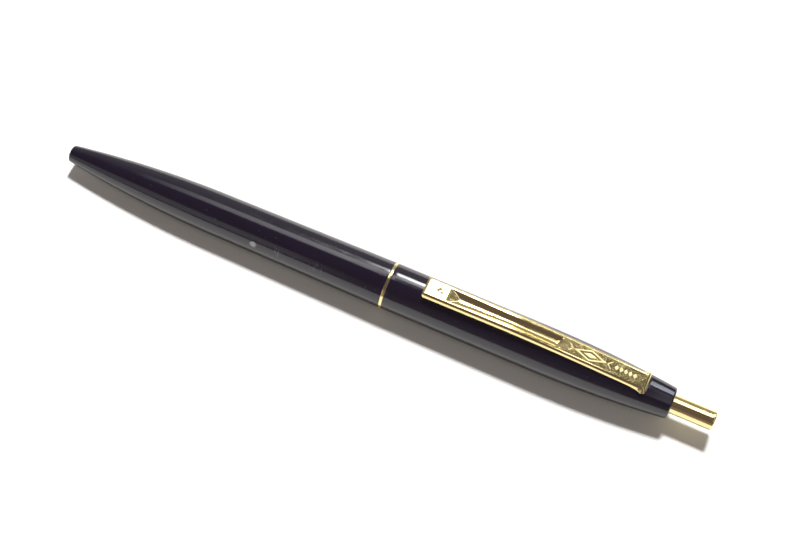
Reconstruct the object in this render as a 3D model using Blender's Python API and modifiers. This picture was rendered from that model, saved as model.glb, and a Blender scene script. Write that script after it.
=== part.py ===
"""Retractable ballpoint pen: a two-piece screwed barrel with a trim ring, a sprung metal clip and a push
button that works a rotary cam, a refill with a rolling ball and a return spring.

Frame: the pen lies along X on the plane Z = 0, nose towards -X, button towards +X, clip up. The origin is
below the middle of its length. Every part is modelled along its own local Z, which is a station: the distance
in millimetres from the nose's end face. The empty "pen_axis" lays those stations along X.
"""

from math import acos, cos, hypot, pi, radians, sin, sqrt

import bmesh
import bpy
from mathutils import Matrix

MM = 0.001
FINE = 36  # facets round the barrel, with a flat one underneath
COARSE = 24  # facets round the small turned parts

# Overall
LENGTH = 139.6
BARREL_R = 4.85
AXIS_HEIGHT = BARREL_R * cos(pi / FINE)
SLIP = 0.05  # radial gap of a part pressed or slid into another
SEAT_GAP = 0.3  # axial gap between faces that rest on each other

# Front barrel
NOSE_R = 1.75
NOSE_LENGTH = 36.0
NOSE_END_R = 4.47
NOSE_BORE_R = 1.35
SPRING_SEAT = 13.0
SPRING_BORE_R = 2.25
SPRING_BORE_END = 36.0
REFILL_BORE_R = 2.7
REFILL_BORE_START = 40.0
JOINT_STATION = 71.0  # middle of the trim ring
RING_WIDTH = 0.5
RING_BORE_R = 3.8
PILOT_R = 3.72
PILOT_LENGTH = 1.45
SPIGOT_R = 3.45
SPIGOT_LENGTH = 8.0

# Barrel thread
PITCH = 1.5
THREAD_START = JOINT_STATION + 2.2
THREAD_HEIGHT = 0.27
THREAD_TURNS = 3
GROOVE_LEAD_TURNS = 2
GROOVE_TURNS = 6
THREAD_CLEARANCE = 0.15

# Upper barrel
TAPER_START = 103.0
COLLAR_END = 130.8
COLLAR_R = 3.18
THREAD_BORE_R = SPIGOT_R + THREAD_CLEARANCE
SLEEVE_BORE_R = 3.3
SLEEVE_BORE_START = 105.5
SLEEVE_SHOULDER = 122.2
CAVITY_R = 3.1
BUTTON_STOP = 125.8
BUTTON_BORE_R = 2.03

# Push button
BUTTON_R = 1.93
BUTTON_WALL = 0.25
BUTTON_OPEN_END = 126.6

# Click mechanism
RIB_COUNT = 4
RIB_WIDTH = 0.8
RIB_OUTER_R = 2.85
CORE_R = 2.2
GROOVE_WIDTH = 1.05
GROOVE_R = 2.95
LAND_R = 2.35
SLEEVE_START = 106.0
SLEEVE_END = 122.0
LAND_START = 110.6
TOOTH_COUNT = 8
TOOTH_DEPTH = 0.8
CAM_REAR = 116.0
CAM_RIB_LENGTH = 3.1
CAM_FRONT = 107.2
CAM_SOCKET_R = 1.6
CAM_SOCKET_DEPTH = 3.2
CAM_PIN_R = 1.0
CAM_PIN_LENGTH = 3.6
PLUNGER_BORE_R = 1.15
PLUNGER_STEM_R = BUTTON_R - BUTTON_WALL - SLIP

# Refill
POINT_STATION = 1.5  # front of the ball while the refill is retracted
BALL_R = 0.5
SOCKET_R = 0.53
POINT_R = 1.1
POINT_SHANK_R = 0.85
POINT_CYLINDER = 5.2
POINT_SHOULDER = 11.0
POINT_REAR = 15.0
INK_DUCT_R = 0.2
HOLDER_R = 1.2
HOLDER_COLLAR_R = 2.0
HOLDER_COLLAR = 31.0
HOLDER_COLLAR_LENGTH = 1.2
HOLDER_REAR = 38.0
TUBE_R = 1.5
TUBE_BORE_R = 1.15
TUBE_REAR = 110.1
INK_LEVEL = 96.0

# Return spring
SPRING_WIRE_R = 0.19
SPRING_R = 1.75
SPRING_COILS = 9
SPRING_END_COILS = 1
SPRING_POINTS_PER_COIL = 12

# Clip
CLIP_START = 78.3
CLIP_BEND = 124.3
CLIP_SHEET = 0.35
CLIP_FLANGE_GAP = 0.1
CLIP_CORNER = 0.4
CLIP_FACE_FREE = 3.4
CLIP_FACE_ROOT = 3.04
CLIP_FLANGE = 1.0
CLIP_FLANGE_SLOPE = radians(78)
CLIP_HEIGHT_FREE = 6.17
CLIP_HEIGHT_ROOT = 4.45
CLIP_LEVEL_END = 96.0
CLIP_LIP = 0.12
CLIP_LIP_LENGTH = 0.6
CLIP_BEND_R = 0.85
CLIP_LEG_HEIGHT = 2.72
CLIP_LEG_HALF_WIDTH = 1.5
CLIP_FOOT_HALF_WIDTH = 1.0
CLIP_FOOT = 1.7
CHANNEL_START = 83.1
CHANNEL_RAMP = 2.3
CHANNEL_END = 106.8
CHANNEL_END_LENGTH = 1.3
CHANNEL_HALF_WIDTH = 1.2
CHANNEL_DEPTH = 0.42
CLIP_BALL_STATION = 81.4
CLIP_BALL_R = 0.6
CLIP_DIMPLE_R = 1.4
CLIP_DIMPLE_DEPTH = 0.12
CLIP_BALL_GAP = 0.12
CLIP_HINGE_STATION = 125.0
CLIP_HINGE_HEIGHT = 4.2
SLOT_START = 124.6
SLOT_END = 125.27


def clear_scene():
    """Removes what the startup file holds."""
    for obj in list(bpy.data.objects):
        bpy.data.objects.remove(obj)


def new_collection(name):
    """A collection linked into the scene."""
    collection = bpy.data.collections.new(name)
    bpy.context.scene.collection.children.link(collection)
    return collection


def new_material(name, colour, roughness, metallic=0.0):
    """A Principled BSDF with a plain colour."""
    material = bpy.data.materials.new(name)
    material.use_nodes = True
    shader = material.node_tree.nodes["Principled BSDF"]
    shader.inputs["Base Color"].default_value = (*colour, 1.0)
    shader.inputs["Roughness"].default_value = roughness
    shader.inputs["Metallic"].default_value = metallic
    return material


clear_scene()
PEN = new_collection("ballpoint_pen")
CUTTERS = new_collection("cutters")
BLACK = new_material("black_plastic", (0.012, 0.011, 0.016), 0.18)
GOLD = new_material("gold_plate", (0.86, 0.66, 0.26), 0.14, 1.0)
WHITE = new_material("natural_plastic", (0.82, 0.82, 0.78), 0.4)
STEEL = new_material("spring_steel", (0.62, 0.62, 0.64), 0.28, 1.0)
BRASS = new_material("point_brass", (0.72, 0.58, 0.32), 0.25, 1.0)
CARBIDE = new_material("ball_carbide", (0.5, 0.5, 0.52), 0.12, 1.0)
TUBE = new_material("clear_plastic", (0.8, 0.8, 0.76), 0.25)
INK = new_material("black_ink", (0.01, 0.01, 0.02), 0.2)

pen_axis = bpy.data.objects.new("pen_axis", None)
PEN.objects.link(pen_axis)
pen_axis.location = (-LENGTH / 2 * MM, 0.0, AXIS_HEIGHT * MM)
pen_axis.rotation_euler = (0.0, radians(90), 0.0)


def place(obj, collection, material=None, parent=pen_axis):
    """Links an object, gives it its material and hangs it on the pen's axis."""
    collection.objects.link(obj)
    obj.parent = parent
    if material:
        obj.data.materials.append(material)
    if collection is CUTTERS:
        obj.hide_render = True
        obj.display_type = "WIRE"
    return obj


def turned(name, profile, facets, collection=PEN, material=None, on_axis=False, offset=0.0, turns=1):
    """A solid of revolution. profile holds (radius, station) points that run down the outer side, high
    station first, and close on themselves unless on_axis is set."""
    angle = pi / facets
    mesh = bpy.data.meshes.new(name)
    points = [(r * MM * cos(angle), r * MM * sin(angle), station * MM) for r, station in profile]
    count = len(points)
    edges = [(i, (i + 1) % count) for i in range(count - 1 if on_axis else count)]
    mesh.from_pydata(points, edges, [])
    obj = place(bpy.data.objects.new(name, mesh), collection, material)
    screw = obj.modifiers.new("turn", "SCREW")
    screw.steps = screw.render_steps = facets
    screw.screw_offset = offset * MM
    screw.iterations = turns
    screw.use_merge_vertices = offset == 0.0
    screw.merge_threshold = 1e-6
    return obj


def meshed(obj, weld=1e-7):
    """The object as a plain mesh, with its open ends filled and doubled points welded."""
    bpy.context.view_layer.update()
    graph = bpy.context.evaluated_depsgraph_get()
    mesh = bpy.data.meshes.new_from_object(obj.evaluated_get(graph))
    bm = bmesh.new()
    bm.from_mesh(mesh)
    bmesh.ops.remove_doubles(bm, verts=bm.verts, dist=weld)
    bmesh.ops.holes_fill(bm, edges=bm.edges, sides=0)
    bmesh.ops.recalc_face_normals(bm, faces=bm.faces)
    bm.to_mesh(mesh)
    bm.free()
    result = bpy.data.objects.new(obj.name, mesh)
    collection = obj.users_collection[0]
    matrix = obj.matrix_basis.copy()
    name = obj.name
    bpy.data.objects.remove(obj)
    result.name = name
    place(result, collection)
    result.matrix_basis = matrix
    return result


def boolean(obj, operation, other):
    """Adds a Boolean modifier."""
    modifier = obj.modifiers.new(other.name, "BOOLEAN")
    modifier.operation = operation
    modifier.object = other
    return modifier


def box_cutter(name, centre, size, turn=0.0):
    """A block at (x, y, station), sized along the same axes, then turned about the pen's axis."""
    mesh = bpy.data.meshes.new(name)
    bm = bmesh.new()
    bmesh.ops.create_cube(bm, size=MM)
    bmesh.ops.scale(bm, vec=size, verts=bm.verts)
    bmesh.ops.translate(bm, vec=[c * MM for c in centre], verts=bm.verts)
    bmesh.ops.rotate(bm, matrix=Matrix.Rotation(turn, 3, "Z"), verts=bm.verts)
    bm.to_mesh(mesh)
    bm.free()
    return place(bpy.data.objects.new(name, mesh), CUTTERS)


def ball(name, radius, centre, rings, collection=PEN, material=None):
    """A sphere at (x, y, station)."""
    mesh = bpy.data.meshes.new(name)
    bm = bmesh.new()
    bmesh.ops.create_uvsphere(bm, u_segments=2 * rings, v_segments=rings, radius=radius * MM)
    bm.to_mesh(mesh)
    bm.free()
    mesh.shade_smooth()
    obj = place(bpy.data.objects.new(name, mesh), collection, material)
    obj.location = [c * MM for c in centre]
    return obj


def round_corner(radius, station, size, towards, count=3):
    """Points of a quarter circle that rounds an outer corner. towards is 1 at a rear end and -1 at a front
    end, and the points run down the outer side."""
    steps = [pi / 2 * i / count for i in range(count + 1)]
    if towards > 0:
        return [(radius - size + size * sin(a), station - size + size * cos(a)) for a in steps]
    return [(radius - size + size * cos(a), station + size - size * sin(a)) for a in steps]


def spread(first, last, count):
    """Evenly spaced values from first to last, both included."""
    return [first + (last - first) * i / (count - 1) for i in range(count)]


def front_outline(station):
    """Outer radius of the front barrel: a parabola over the nose, then a slight taper up to the ring."""
    if station < NOSE_LENGTH:
        return NOSE_END_R - (NOSE_END_R - NOSE_R) * (1 - station / NOSE_LENGTH) ** 2
    share = (station - NOSE_LENGTH) / (JOINT_STATION - NOSE_LENGTH)
    return NOSE_END_R + (BARREL_R - NOSE_END_R) * share


def rear_outline(station):
    """Outer radius of the upper barrel: straight, then a parabola down to the collar."""
    if station < TAPER_START:
        return BARREL_R
    share = (station - TAPER_START) / (COLLAR_END - TAPER_START)
    return BARREL_R - (BARREL_R - COLLAR_R) * share**2


def thread_ridge(name, root, crest, start, turns, widen, collection):
    """A helical ridge with a trapezium section, from below its root radius to its crest."""
    foot, top = 0.42 + widen, 0.15 + widen / 2
    outline = [(root, foot), (crest, top), (crest, -top), (root, -foot)]
    profile = [(radius, start + z) for radius, z in outline]
    ridge = turned(name, profile, COARSE, collection, offset=PITCH, turns=turns)
    return meshed(ridge)


def make_front_barrel():
    """Front half: nose, spring seat, refill bore and threaded spigot."""
    end = JOINT_STATION - RING_WIDTH / 2
    spigot_end = end + SPIGOT_LENGTH
    nose = [(front_outline(s), s) for s in spread(NOSE_LENGTH, 1.0, 9)]
    outer = [
        (SPIGOT_R - 0.25, spigot_end),
        (SPIGOT_R, spigot_end - 0.25),
        (SPIGOT_R, end + PILOT_LENGTH),
        (PILOT_R, end + PILOT_LENGTH),
        (PILOT_R, end),
        (front_outline(end), end),
        *nose,
        *round_corner(NOSE_R, 0.0, 0.35, -1),
    ]
    inner = [
        (NOSE_BORE_R, 0.0),
        (NOSE_BORE_R, SPRING_SEAT),
        (SPRING_BORE_R, SPRING_SEAT),
        (SPRING_BORE_R, SPRING_BORE_END),
        (REFILL_BORE_R, REFILL_BORE_START),
        (REFILL_BORE_R, spigot_end),
    ]
    barrel = turned("front_barrel", outer + inner, FINE, material=BLACK)
    root, crest = SPIGOT_R - 0.1, SPIGOT_R + THREAD_HEIGHT
    ridge = thread_ridge("spigot_thread", root, crest, THREAD_START, THREAD_TURNS, 0.0, CUTTERS)
    boolean(barrel, "UNION", ridge)
    return barrel


def make_centre_ring():
    """Thin plated ring held between the two barrel halves."""
    half = RING_WIDTH / 2 - 0.04
    low, high = JOINT_STATION - half, JOINT_STATION + half
    outline = [(BARREL_R, high), (BARREL_R, low), (RING_BORE_R, low), (RING_BORE_R, high)]
    return turned("centre_ring", outline, FINE, material=GOLD)


def make_upper_barrel():
    """Rear half: threaded mouth, seat for the guide sleeve, cavity for the clip's foot and button bore."""
    mouth = JOINT_STATION + RING_WIDTH / 2
    counterbore_r = PILOT_R + 0.18
    counterbore_end = mouth + PILOT_LENGTH
    taper = [(rear_outline(s), s) for s in spread(COLLAR_END - 0.6, TAPER_START, 8)]
    outer = [*round_corner(COLLAR_R, COLLAR_END, 0.5, 1), *taper, (BARREL_R, mouth)]
    inner = [
        (counterbore_r, mouth),
        (counterbore_r, counterbore_end),
        (THREAD_BORE_R, counterbore_end),
        (THREAD_BORE_R, SLEEVE_BORE_START),
        (SLEEVE_BORE_R, SLEEVE_BORE_START),
        (SLEEVE_BORE_R, SLEEVE_SHOULDER),
        (CAVITY_R, SLEEVE_SHOULDER),
        (CAVITY_R, BUTTON_STOP),
        (BUTTON_BORE_R, BUTTON_STOP),
        (BUTTON_BORE_R, COLLAR_END),
    ]
    barrel = turned("upper_barrel", outer + inner, FINE, material=BLACK)
    root, crest = THREAD_BORE_R - 0.1, SPIGOT_R + THREAD_HEIGHT + THREAD_CLEARANCE
    start = THREAD_START - GROOVE_LEAD_TURNS * PITCH
    groove = thread_ridge("mouth_thread", root, crest, start, GROOVE_TURNS, THREAD_CLEARANCE, CUTTERS)
    boolean(barrel, "DIFFERENCE", groove)
    slot_width = 2 * CLIP_LEG_HALF_WIDTH + 0.3
    centre = (-CAVITY_R - 0.6, 0.0, (SLOT_START + SLOT_END) / 2)
    slot = box_cutter("clip_slot", centre, (1.6, slot_width, SLOT_END - SLOT_START))
    boolean(barrel, "DIFFERENCE", slot)
    return barrel


def rib_angles(count=RIB_COUNT):
    """Angles of the ribs, midway between the clip's side and the quarter turns from it."""
    return [2 * pi * (i + 0.5) / count for i in range(count)]


def saw_tooth(name, inner, outer, station, depth, turn, rise):
    """A wedge that cuts one sloping tooth gap, from a radius inwards of the wall to one beyond it. Its slope
    rises by rise (+1 or -1) round the axis and bites by depth, towards the side that rise gives."""
    pitch_width = 2 * pi * outer / TOOTH_COUNT * 0.98
    curve = bpy.data.curves.new(name, "CURVE")
    curve.dimensions = "2D"
    curve.fill_mode = "BOTH"
    curve.extrude = (outer - inner) / 2 * MM
    spline = curve.splines.new("POLY")
    spline.points.add(2)
    corners = [(-pitch_width / 2, 0.0), (pitch_width / 2, 0.0), (pitch_width / 2, depth * rise)]
    for point, (across, along) in zip(spline.points, corners):
        point.co = (across * MM, along * MM, 0.0, 1.0)
    spline.use_cyclic_u = True
    obj = place(bpy.data.objects.new(name, curve), CUTTERS)
    radius = (inner + outer) / 2
    basis = Matrix(((0, 0, 1), (1, 0, 0), (0, 1, 0))).to_4x4()
    obj.matrix_basis = (
        Matrix.Rotation(turn, 4, "Z") @ Matrix.Translation((radius * MM, 0.0, station * MM)) @ basis
    )
    return meshed(obj)


def ribbed(obj, first, last, inner, turn=0.0):
    """Adds the cam ribs between two stations to a turned core."""
    for i, angle in enumerate(rib_angles()):
        reach = RIB_OUTER_R - inner
        centre = (inner + reach / 2, 0.0, (first + last) / 2)
        rib = box_cutter(f"{obj.name}_rib_{i}", centre, (reach, RIB_WIDTH, last - first), angle + turn)
        boolean(obj, "UNION", rib)
    return obj


def toothed(obj, inner, outer, station, depth, phase, rise, count=TOOTH_COUNT):
    """Cuts a ring of sloping teeth into an end face."""
    for i in range(count):
        turn = phase + 2 * pi * i / count
        wedge = saw_tooth(f"{obj.name}_tooth_{i}", inner, outer, station, depth, turn, rise)
        boolean(obj, "DIFFERENCE", wedge)
    return obj


def make_guide_sleeve():
    """Fixed sleeve: four grooves for the cam ribs, and sloping lands that turn and hold the cam."""
    outer_r = SLEEVE_BORE_R - SLIP
    outline = [
        (outer_r, SLEEVE_END),
        (outer_r, SLEEVE_START),
        (GROOVE_R, SLEEVE_START),
        (GROOVE_R, LAND_START),
        (LAND_R, LAND_START),
        (LAND_R, SLEEVE_END),
    ]
    sleeve = turned("guide_sleeve", outline, FINE, material=WHITE)
    length = SLEEVE_END - LAND_START + 1.0
    reach = GROOVE_R * cos(pi / FINE) - 0.02
    middle = LAND_START - 0.5 + (length + 1.0) / 2
    for i, angle in enumerate(rib_angles()):
        size = (reach - 1.5, GROOVE_WIDTH, length + 1.0)
        groove = box_cutter(f"sleeve_groove_{i}", ((reach + 1.5) / 2, 0.0, middle), size, angle)
        boolean(sleeve, "DIFFERENCE", groove)
    return toothed(sleeve, 1.9, GROOVE_R - 0.03, LAND_START - 0.02, TOOTH_DEPTH, 0.0, 1)


def make_plunger():
    """Plastic plunger: stem inside the button, ribbed head in the sleeve, teeth that push the cam round."""
    head_front, head_rear = CAM_REAR + SEAT_GAP, BUTTON_STOP - SEAT_GAP
    stem_end = LENGTH - 0.35 - 2 * SLIP
    outline = [
        (PLUNGER_STEM_R - 0.2, stem_end),
        (PLUNGER_STEM_R, stem_end - 0.2),
        (PLUNGER_STEM_R, head_rear),
        (CORE_R, head_rear),
        (CORE_R, head_front),
        (PLUNGER_BORE_R, head_front),
        (PLUNGER_BORE_R, head_front + CAM_PIN_LENGTH + 0.6),
        (0.0, head_front + CAM_PIN_LENGTH + 0.9),
    ]
    plunger = turned("plunger", [(0.0, stem_end), *outline], COARSE, material=WHITE, on_axis=True)
    ribbed(plunger, head_front + 0.4, head_rear - 0.1, CORE_R - 0.3)
    return toothed(plunger, 0.6, CORE_R + 0.3, head_front - 0.02, TOOTH_DEPTH * 0.6, 0.0, 1)


def make_rotary_cam():
    """Rotary cam: ribs that ride in the sleeve, a pin that centres it in the plunger and a socket for the
    refill."""
    outline = [
        (CAM_PIN_R, CAM_REAR + CAM_PIN_LENGTH),
        (CAM_PIN_R, CAM_REAR),
        (CORE_R, CAM_REAR),
        (CORE_R, CAM_FRONT + 0.3),
        (CORE_R - 0.3, CAM_FRONT),
        (CAM_SOCKET_R, CAM_FRONT),
        (CAM_SOCKET_R, CAM_FRONT + CAM_SOCKET_DEPTH),
        (0.0, CAM_FRONT + CAM_SOCKET_DEPTH),
    ]
    top = (0.0, CAM_REAR + CAM_PIN_LENGTH)
    cam = turned("rotary_cam", [top, *outline], COARSE, material=WHITE, on_axis=True)
    return ribbed(cam, CAM_REAR - CAM_RIB_LENGTH, CAM_REAR - 0.05, CORE_R - 0.3)


def make_push_button():
    """Drawn metal button, closed at its rear end."""
    inner_r = BUTTON_R - BUTTON_WALL
    outline = [
        (0.0, LENGTH),
        *round_corner(BUTTON_R, LENGTH, 0.35, 1),
        (BUTTON_R, BUTTON_OPEN_END),
        (inner_r, BUTTON_OPEN_END),
        (inner_r, LENGTH - 0.35),
        (0.0, LENGTH - 0.35),
    ]
    return turned("push_button", outline, COARSE, material=GOLD, on_axis=True)


def make_point_body():
    """Metal writing point: a cone with a socket that is rolled over the ball, and an ink duct."""
    centre = POINT_STATION + BALL_R
    lip = centre - 0.2
    seat = [acos(-0.2 / SOCKET_R) * (1 - i / 6) for i in range(6)]
    duct_angle = 0.39
    socket = [
        (SOCKET_R * sin(max(a, duct_angle)), centre + SOCKET_R * cos(max(a, duct_angle))) for a in seat
    ]
    outline = [
        (POINT_SHANK_R, POINT_REAR),
        (POINT_SHANK_R, POINT_SHOULDER),
        (POINT_R, POINT_SHOULDER),
        (POINT_R, POINT_CYLINDER),
        (0.78, lip + 0.7),
        (0.66, lip + 0.25),
        (0.58, lip),
        *socket,
        (INK_DUCT_R, centre + 0.75),
        (INK_DUCT_R, POINT_REAR),
    ]
    return turned("point_body", outline, COARSE, material=BRASS)


def make_writing_ball():
    """The ball that rolls in the point's socket."""
    return ball("writing_ball", BALL_R, (0.0, 0.0, POINT_STATION + BALL_R), 8, material=CARBIDE)


def make_point_holder():
    """Plastic adaptor between point and tube, with the collar that the spring pushes on."""
    front = POINT_SHOULDER + 0.2
    collar_rear = HOLDER_COLLAR + HOLDER_COLLAR_LENGTH
    outline = [
        (TUBE_BORE_R - SLIP, HOLDER_REAR),
        (TUBE_BORE_R - SLIP, collar_rear),
        (HOLDER_COLLAR_R, collar_rear),
        (HOLDER_COLLAR_R, HOLDER_COLLAR),
        (HOLDER_R, HOLDER_COLLAR),
        (HOLDER_R, front),
        (POINT_SHANK_R + SLIP, front),
        (POINT_SHANK_R + SLIP, POINT_REAR + 0.3),
        (0.6, POINT_REAR + 0.6),
        (0.6, HOLDER_REAR),
    ]
    return turned("point_holder", outline, COARSE, material=WHITE)


def make_ink_tube():
    """Refill tube, open at the rear."""
    front = HOLDER_COLLAR + HOLDER_COLLAR_LENGTH + 0.2
    outline = [(TUBE_R, TUBE_REAR), (TUBE_R, front), (TUBE_BORE_R, front), (TUBE_BORE_R, TUBE_REAR)]
    return turned("ink_tube", outline, COARSE, material=TUBE)


def make_ink():
    """Column of ink in the tube."""
    radius, front = TUBE_BORE_R - SLIP, HOLDER_REAR + 0.2
    outline = [(0.0, INK_LEVEL), (radius, INK_LEVEL), (radius, front), (0.0, front)]
    return turned("ink_column", outline, COARSE, material=INK, on_axis=True)


def spring_path():
    """Centre line of the return spring: a coil that lies closed at both ends and is open between."""
    clearance = SPRING_WIRE_R + 0.1
    first, last = SPRING_SEAT + clearance, HOLDER_COLLAR - clearance
    closed = 2 * SPRING_WIRE_R + 0.06
    open_pitch = (last - first - 2 * SPRING_END_COILS * closed) / (SPRING_COILS - 2 * SPRING_END_COILS)
    path = []
    for i in range(SPRING_COILS * SPRING_POINTS_PER_COIL + 1):
        coil = i / SPRING_POINTS_PER_COIL
        at_front = min(coil, SPRING_END_COILS)
        at_rear = max(coil - (SPRING_COILS - SPRING_END_COILS), 0.0)
        station = first + (at_front + at_rear) * closed + (coil - at_front - at_rear) * open_pitch
        angle = 2 * pi * coil
        path.append((SPRING_R * cos(angle), SPRING_R * sin(angle), station))
    return path


def make_return_spring():
    """Wire spring between the seat in the front barrel and the refill's collar."""
    curve = bpy.data.curves.new("return_spring", "CURVE")
    curve.dimensions = "3D"
    curve.bevel_depth = SPRING_WIRE_R * MM
    curve.bevel_resolution = 2
    curve.use_fill_caps = True
    path = spring_path()
    spline = curve.splines.new("POLY")
    spline.points.add(len(path) - 1)
    for point, place_at in zip(spline.points, path):
        point.co = (*(c * MM for c in place_at), 1.0)
    return place(bpy.data.objects.new("return_spring", curve), PEN, STEEL)


def clip_height(station):
    """Height of the clip's top face above the pen's axis: level by the free end, then falling with the
    barrel."""
    fall = max(station - CLIP_LEVEL_END, 0.0) / (CLIP_BEND - CLIP_LEVEL_END)
    lip = max(CLIP_START + CLIP_LIP_LENGTH - station, 0.0) / CLIP_LIP_LENGTH
    drop = (CLIP_HEIGHT_FREE - CLIP_HEIGHT_ROOT) * fall**1.45
    return CLIP_HEIGHT_FREE - drop - CLIP_LIP * lip**2


def clip_path():
    """Rows along the clip's outer face as (station, height, fold, flat). fold goes from 0 on the pressed part
    to 1 on the leg and foot, which are flat and of half width flat."""
    stations = [CLIP_START, CLIP_START + CLIP_LIP_LENGTH, CHANNEL_START - 1.2, CHANNEL_START]
    stations += spread(CHANNEL_START + CHANNEL_RAMP, CHANNEL_END - CHANNEL_END_LENGTH, 7)
    stations += [CHANNEL_END - 0.6, CHANNEL_END - 0.2, CHANNEL_END]
    stations += spread(CHANNEL_END + 3.0, CLIP_BEND, 6)
    rows = [(s, clip_height(s), 0.0, CLIP_LEG_HALF_WIDTH) for s in stations]
    top = rows[-1][1]
    for i in range(1, 5):
        angle = pi / 2 * i / 4
        station = CLIP_BEND + CLIP_BEND_R * sin(angle)
        rows.append((station, top - CLIP_BEND_R * (1 - cos(angle)), i / 4, CLIP_LEG_HALF_WIDTH))
    leg = CLIP_BEND + CLIP_BEND_R
    elbow = CLIP_SHEET + 0.1
    foot = CLIP_LEG_HEIGHT - CLIP_SHEET
    rows.append((leg, foot + elbow + 0.3, 1.0, CLIP_LEG_HALF_WIDTH))
    for i in range(4):
        angle = pi / 2 * i / 3
        station = leg - elbow * (1 - cos(angle))
        rows.append((station, foot + elbow * (1 - sin(angle)), 1.0, CLIP_FOOT_HALF_WIDTH))
    rows.append((leg - CLIP_FOOT, foot, 1.0, CLIP_FOOT_HALF_WIDTH))
    return rows


def channel_depth(station):
    """Depth of the channel pressed into the top face: a ramp at its free end and a rounded rear end."""
    down = (station - CHANNEL_START) / CHANNEL_RAMP
    left = (CHANNEL_END - station) / CHANNEL_END_LENGTH
    if down <= 0 or left <= 0:
        return 0.0
    return CHANNEL_DEPTH * min(down, 1.0) * sqrt(1 - (1 - min(left, 1.0)) ** 2)


def clip_section(station, fold, flat):
    """Points across the clip as (across, drop below the outer face): a flat face with a hollow pressed in it,
    rounded shoulders and sloping flanges. It turns into a flat strip as fold goes to 1."""
    share = (station - CLIP_START) / (CLIP_BEND - CLIP_START)
    face = (CLIP_FACE_FREE + (CLIP_FACE_ROOT - CLIP_FACE_FREE) * min(share, 1.0)) / 2
    slope = CLIP_FLANGE_SLOPE
    shoulder = [
        (face + CLIP_CORNER * sin(a), CLIP_CORNER * (1 - cos(a))) for a in spread(slope, 0.0, 4)
    ]
    edge, edge_drop = shoulder[0]
    barrel = sqrt(rear_outline(station) ** 2 - (edge - CLIP_SHEET) ** 2)
    room = clip_height(min(station, CLIP_BEND)) - barrel - CLIP_FLANGE_GAP
    flange = min(CLIP_FLANGE, room)
    depth = channel_depth(station)
    hollow = [
        (CHANNEL_HALF_WIDTH * t, depth * (1 - t**2)) for t in (1.0, 0.55, 0.0)
    ]
    side = [(edge + (flange - edge_drop) * cos(slope) / sin(slope), flange), *shoulder, *hollow]
    section = side + [(-across, drop) for across, drop in reversed(side[:-1])]
    reach = spread(1.0, -1.0, len(section))
    return [
        (across * (1 - fold) + flat * r * fold, drop * (1 - fold))
        for (across, drop), r in zip(section, reach)
    ]


def make_clip():
    """Sprung sheet-metal clip: channel section with a pressed groove, a ball near its free end, and a leg and
    foot hooked through the upper barrel's slot."""
    rows = clip_path()
    columns = len(clip_section(CLIP_START, 0.0, CLIP_LEG_HALF_WIDTH))
    mesh = bpy.data.meshes.new("clip")
    bm = bmesh.new()
    bmesh.ops.create_grid(bm, x_segments=len(rows) - 1, y_segments=columns - 1, size=1.0)
    bm.verts.ensure_lookup_table()
    ordered = sorted(bm.verts, key=lambda v: (round(v.co.x, 4), round(v.co.y, 4)))
    for i, (station, height, fold, flat) in enumerate(rows):
        before, after = rows[max(i - 1, 0)], rows[min(i + 1, len(rows) - 1)]
        along, up = after[0] - before[0], after[1] - before[1]
        length = hypot(along, up)
        inward = (up / length, -along / length)
        for j, (across, drop) in enumerate(clip_section(station, fold, flat)):
            vertex = ordered[i * columns + j]
            z = station + inward[0] * drop
            x = height + inward[1] * drop
            vertex.co = (-(x - CLIP_HINGE_HEIGHT) * MM, across * MM, (z - CLIP_HINGE_STATION) * MM)
    bmesh.ops.recalc_face_normals(bm, faces=bm.faces)
    bm.to_mesh(mesh)
    bm.free()
    hinge = bpy.data.objects.new("clip_hinge", None)
    PEN.objects.link(hinge)
    hinge.parent = pen_axis
    hinge.location = (-CLIP_HINGE_HEIGHT * MM, 0.0, CLIP_HINGE_STATION * MM)
    clip = place(bpy.data.objects.new("clip", mesh), PEN, GOLD, parent=hinge)
    solidify = clip.modifiers.new("sheet", "SOLIDIFY")
    solidify.thickness = CLIP_SHEET * MM
    solidify.offset = -1.0
    solidify.use_even_offset = True
    centre = BARREL_R + CLIP_BALL_GAP + CLIP_BALL_R
    bump = ball("clip_ball", CLIP_BALL_R, (-centre, 0.0, CLIP_BALL_STATION), 8, CUTTERS)
    dimple_centre = CLIP_HEIGHT_FREE + CLIP_DIMPLE_R - CLIP_DIMPLE_DEPTH
    dimple = ball("clip_dimple", CLIP_DIMPLE_R, (-dimple_centre, 0.0, CLIP_BALL_STATION), 10, CUTTERS)
    boolean(clip, "UNION", bump)
    boolean(clip, "DIFFERENCE", dimple)
    return clip


make_front_barrel()
make_centre_ring()
make_upper_barrel()
make_guide_sleeve()
make_clip()
make_push_button()
make_plunger()
make_rotary_cam()
make_return_spring()
make_ink_tube()
make_ink()
make_point_holder()
make_point_body()
make_writing_ball()
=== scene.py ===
"""Looks of a retractable ballpoint pen: polished black barrels, gold-plated ring, clip and button, and the
mechanism and refill inside them.

A station is a distance along the pen in millimetres, from the nose's end face. Across the pen, an angle is
measured round the axis from the top, through the camera's side.
"""

from math import cos, degrees, hypot, pi, radians, sin, sqrt

import bmesh
import bpy
from mathutils import Matrix, Vector


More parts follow.
